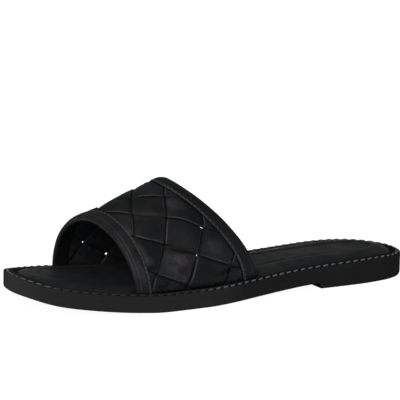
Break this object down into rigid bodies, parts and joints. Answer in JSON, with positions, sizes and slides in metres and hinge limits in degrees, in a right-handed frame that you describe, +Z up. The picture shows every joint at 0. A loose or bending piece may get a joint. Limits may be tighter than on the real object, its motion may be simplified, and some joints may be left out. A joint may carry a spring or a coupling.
{
  "type": "slide sandal",
  "caption": "Left slide sandal with one wide plaited strap bound along both edges, a padded insole, a stitched midsole rim and a moulded sole with a low heel.",
  "frame": {"origin": "centre of the sandal's footprint, on the floor that it stands on", "axes": "+Y from heel to toe, +X to the wearer's right, which is the big toe side of this left sandal, +Z up"},
  "size_m": [0.0874, 0.252, 0.0634],
  "materials": {
    "outsole": "matte black moulded rubber with a fine grain",
    "midsole": "satin black board with a waxed edge",
    "insole": "smooth black padded leather with a soft gloss",
    "upper": "supple black leather strips with a fine grain and a soft gloss",
    "binding": "folded black leather with a soft gloss",
    "thread": "thick waxed black thread"
  },
  "bodies": {
    "root": {"outsole": "outsole", "midsole": "midsole", "insole": "insole", "upper": "upper", "front_binding": "binding", "rear_binding": "binding"}
  },
  "joints": []
}
